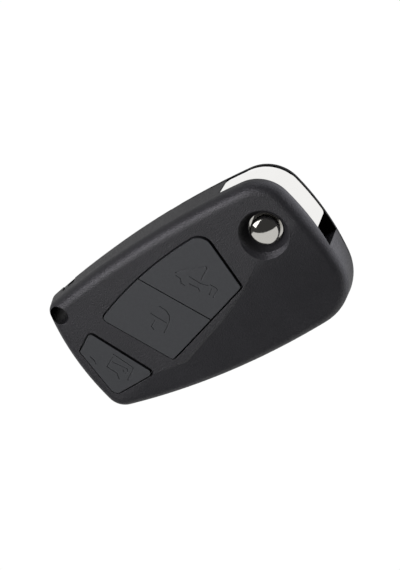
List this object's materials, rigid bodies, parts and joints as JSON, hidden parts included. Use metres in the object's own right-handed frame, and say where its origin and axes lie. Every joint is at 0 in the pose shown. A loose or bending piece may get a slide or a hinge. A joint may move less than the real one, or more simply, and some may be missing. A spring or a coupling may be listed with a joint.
{
  "type": "key fob shell",
  "caption": "Folding key fob shell: spring-out blade on a chrome corner head, domed release button in a dished recess, rubber keys and a key-ring hole.",
  "frame": {"origin": "centre of the case's plan box on its flat back", "axes": "+X along the case towards the wide head end, +Y towards the side where the blade folds in, +Z out of the face with the keys"},
  "size_m": [0.0686, 0.0404, 0.0141],
  "materials": {
    "case_plastic": "fine grained black ABS",
    "chrome": "mirror chrome plate",
    "blade_steel": "nickel plated blank",
    "spring_steel": "bright steel",
    "key_rubber": "matt black silicone",
    "mat_rubber": "matt black silicone",
    "frame_plastic": "moulded black",
    "board": "green solder mask",
    "switch_plastic": "moulded black",
    "chip_plastic": "moulded epoxy",
    "can_metal": "nickel plated steel",
    "contact_brass": "nickel brass strip"
  },
  "bodies": {
    "case": {"front_shell": "case_plastic", "rear_shell": "case_plastic", "inner_frame": "frame_plastic", "circuit_board": "board", "key_mat": "mat_rubber", "boot_switch": "switch_plastic", "lock_switch": "switch_plastic", "van_switch": "switch_plastic", "radio_chip": "chip_plastic", "crystal_can": "can_metal", "coin_cell": "can_metal", "cell_holder": "frame_plastic", "contact_negative": "contact_brass", "contact_positive": "contact_brass", "transponder_chip": "chip_plastic", "case_screws": "spring_steel"},
    "head": {"blade_head": "chrome", "key_blade": "blade_steel", "blade_pin": "spring_steel", "lock_ring": "spring_steel", "flip_spring": "spring_steel"},
    "release": {"release_button": "chrome"},
    "boot": {"boot_key": "key_rubber"},
    "lock": {"lock_key": "key_rubber"},
    "van": {"van_key": "key_rubber"}
  },
  "joints": [
    {"name": "blade_flip", "type": "hinge", "parent": "case", "child": "head", "pos_m": [0.0241, 0.00719, 0.00335], "axis": [0, 0, -1], "range_deg": [0, 180]},
    {"name": "release_press", "type": "slide", "parent": "case", "child": "release", "axis": [0, 0, -1], "range_m": [0, 0.0016], "stiffness_N_per_m": 900},
    {"name": "boot_press", "type": "slide", "parent": "case", "child": "boot", "axis": [0, 0, -1], "range_m": [0, 0.0006], "stiffness_N_per_m": 1500},
    {"name": "lock_press", "type": "slide", "parent": "case", "child": "lock", "axis": [0, 0, -1], "range_m": [0, 0.0006], "stiffness_N_per_m": 1500},
    {"name": "van_press", "type": "slide", "parent": "case", "child": "van", "axis": [0, 0, -1], "range_m": [0, 0.0006], "stiffness_N_per_m": 1500}
  ]
}
